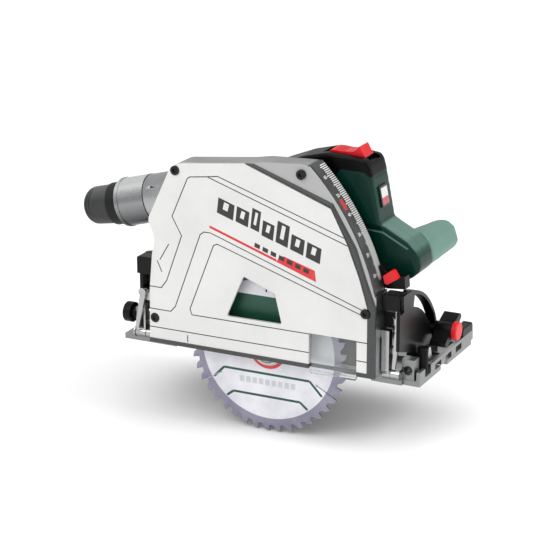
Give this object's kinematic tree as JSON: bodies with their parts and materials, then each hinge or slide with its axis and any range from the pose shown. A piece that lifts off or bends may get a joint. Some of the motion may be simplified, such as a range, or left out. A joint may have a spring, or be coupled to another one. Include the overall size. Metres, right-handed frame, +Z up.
{
  "type": "track plunge saw",
  "caption": "Cordless plunge-cut circular saw on a ribbed sole with a tilting blade guard, bevel quadrants, depth scale, D-handle, front grip and swivelling dust outlet.",
  "frame": {"origin": "on the sole's underside plane and the cut line, straight below the blade's axis with the head fully plunged", "axes": "+X the sawing direction, +Y from the blade towards the motor, +Z up from the sole"},
  "size_m": [0.3714, 0.1611, 0.2837],
  "materials": {
    "cast_alloy": "bead-blasted die casting",
    "white_paint": "satin off-white paint",
    "dark_grey": "satin dark grey casting",
    "sole_metal": "extruded and machined",
    "black_plastic": "fine moulded texture",
    "black_rubber": "ribbed soft grip",
    "sage_green": "lighter green glass-filled nylon",
    "dark_green": "dark green glass-filled nylon",
    "black_paint": "black powder coat",
    "red_plastic": "satin red",
    "bright_steel": "zinc-plated or ground steel",
    "blade_steel": "ground and printed blade",
    "clear_plastic": "clear polycarbonate",
    "scale_black": "black strip with white marks",
    "core_steel": "laminated core",
    "board_green": "circuit board",
    "badge_plastic": "plain badge",
    "battery_black": "battery case"
  },
  "bodies": {
    "base": {"base_plate": "sole_metal", "corner_guard": "black_plastic", "adjuster_cam": "bright_steel", "hinge_lugs": "bright_steel", "hinge_pins": "bright_steel", "quadrant_stands": "black_paint", "bevel_quadrants": "black_paint", "bevel_pointer": "red_plastic", "front_bracket": "black_paint", "rear_bracket": "black_paint"},
    "guard_frame_body": {"guard_housing": "cast_alloy", "guard_cover": "white_paint", "guard_frame": "dark_grey", "cover_screws": "bright_steel", "depth_scale": "scale_black", "plunge_pivot_pin": "bright_steel", "return_spring": "bright_steel", "hinge_arms": "bright_steel", "clamp_arms": "dark_grey", "bevel_links": "bright_steel"},
    "front_clamp": {"front_clamp_knob": "black_plastic", "front_clamp_cap": "red_plastic"},
    "rear_clamp": {"rear_clamp_knob": "black_plastic"},
    "stop_knob": {"rear_stop_knob": "black_plastic"},
    "rail_adjuster": {"rail_knob": "black_plastic"},
    "window": {"sight_window": "clear_plastic"},
    "depth_carriage": {"depth_stop": "black_plastic", "stop_key": "red_plastic"},
    "sleeve": {"dust_sleeve": "cast_alloy"},
    "cuff": {"dust_cuff": "black_rubber"},
    "head": {"gear_housing": "cast_alloy", "bearings": "bright_steel", "motor_stator": "core_steel", "motor_housing": "black_plastic", "motor_end_cap": "black_plastic", "housing_right": "dark_green", "housing_left": "dark_green", "front_panel": "dark_green", "grip_sleeve": "black_rubber", "badge": "badge_plastic", "front_handle": "sage_green", "battery_foot": "black_plastic", "switch_and_board": "board_green", "housing_screws": "bright_steel"},
    "arbor": {"saw_blade": "blade_steel", "spindle": "bright_steel", "spindle_gear": "core_steel", "outer_flange": "bright_steel", "arbor_bolt": "bright_steel"},
    "idler": {"idler_shaft": "core_steel", "idler_wheel": "core_steel"},
    "rotor": {"motor_rotor": "core_steel", "motor_pinion": "core_steel", "cooling_fan": "black_plastic"},
    "trigger_body": {"trigger": "black_plastic"},
    "lock_off": {"lock_off_button": "red_plastic"},
    "spindle_lock": {"spindle_lock_button": "black_plastic"},
    "battery": {"battery_pack": "battery_black"},
    "battery_key_right": {"battery_button_right": "red_plastic"},
    "battery_key_left": {"battery_button_left": "red_plastic"}
  },
  "joints": [
    {"name": "bevel_tilt", "type": "hinge", "parent": "base", "child": "guard_frame_body", "pos_m": [0, 0.005, 0.011], "axis": [1, 0, 0], "range_deg": [0, 45]},
    {"name": "front_clamp_turn", "type": "hinge", "parent": "guard_frame_body", "child": "front_clamp", "pos_m": [0.15, 0.0706, 0.03817], "axis": [1, 0, 0], "range_deg": [0, 90]},
    {"name": "rear_clamp_turn", "type": "hinge", "parent": "guard_frame_body", "child": "rear_clamp", "pos_m": [-0.15, 0.0706, 0.03817], "axis": [1, 0, 0], "range_deg": [0, 90]},
    {"name": "stop_knob_turn", "type": "hinge", "parent": "base", "child": "stop_knob", "pos_m": [-0.158, 0.015, 0.026], "axis": [1, 0, 0], "continuous": true},
    {"name": "rail_knob_turn", "type": "hinge", "parent": "base", "child": "rail_adjuster", "pos_m": [0.1464, 0.03, 0.02], "axis": [0, 0, 1], "continuous": true},
    {"name": "window_lift", "type": "slide", "parent": "guard_frame_body", "child": "window", "axis": [0, 0, 1], "range_m": [0, 0.03]},
    {"name": "depth_set", "type": "hinge", "parent": "guard_frame_body", "child": "depth_carriage", "pos_m": [-0.1145, 0, 0.0355], "axis": [0, -1, 0], "range_deg": [0, 26]},
    {"name": "sleeve_turn", "type": "hinge", "parent": "guard_frame_body", "child": "sleeve", "pos_m": [-0.1585, 0.012, 0.1391], "axis": [0.9659, 0, 0.2588], "range_deg": [0, 25]},
    {"name": "cuff_turn", "type": "hinge", "parent": "sleeve", "child": "cuff", "pos_m": [-0.1585, 0.012, 0.1391], "axis": [0.9659, 0, 0.2588], "continuous": true},
    {"name": "plunge", "type": "hinge", "parent": "guard_frame_body", "child": "head", "pos_m": [-0.1145, 0.013, 0.0355], "axis": [0, -1, 0], "range_deg": [0, 35]},
    {"name": "blade_spin", "type": "hinge", "parent": "head", "child": "arbor", "pos_m": [0, 0, 0.0165], "axis": [0, 1, 0], "continuous": true},
    {"name": "idler_spin", "type": "hinge", "parent": "head", "child": "idler", "pos_m": [0.004, 0.0146, 0.0412], "axis": [0, 1, 0], "continuous": true},
    {"name": "rotor_spin", "type": "hinge", "parent": "head", "child": "rotor", "pos_m": [0.008, 0.0275, 0.068], "axis": [0, 1, 0], "continuous": true},
    {"name": "trigger_press", "type": "slide", "parent": "head", "child": "trigger_body", "axis": [0, 0, 1], "range_m": [0, 0.005], "stiffness_N_per_m": 400},
    {"name": "lock_off_slide", "type": "slide", "parent": "head", "child": "lock_off", "axis": [1, 0, 0], "range_m": [0, 0.005], "stiffness_N_per_m": 300},
    {"name": "spindle_lock_press", "type": "slide", "parent": "head", "child": "spindle_lock", "axis": [-1, 0, 0], "range_m": [0, 0.003], "stiffness_N_per_m": 600},
    {"name": "battery_slide", "type": "slide", "parent": "head", "child": "battery", "axis": [0, 0, 1], "range_m": [0, 0.06]},
    {"name": "battery_key_right_press", "type": "slide", "parent": "battery", "child": "battery_key_right", "axis": [0, 1, 0], "range_m": [0, 0.0025], "stiffness_N_per_m": 600},
    {"name": "battery_key_left_press", "type": "slide", "parent": "battery", "child": "battery_key_left", "axis": [0, -1, 0], "range_m": [0, 0.0025], "stiffness_N_per_m": 600}
  ],
  "couplings": [
    {"joint": "idler_spin", "follows": "blade_spin", "ratio": -0.92308},
    {"joint": "rotor_spin", "follows": "blade_spin", "ratio": 4.6154}
  ]
}
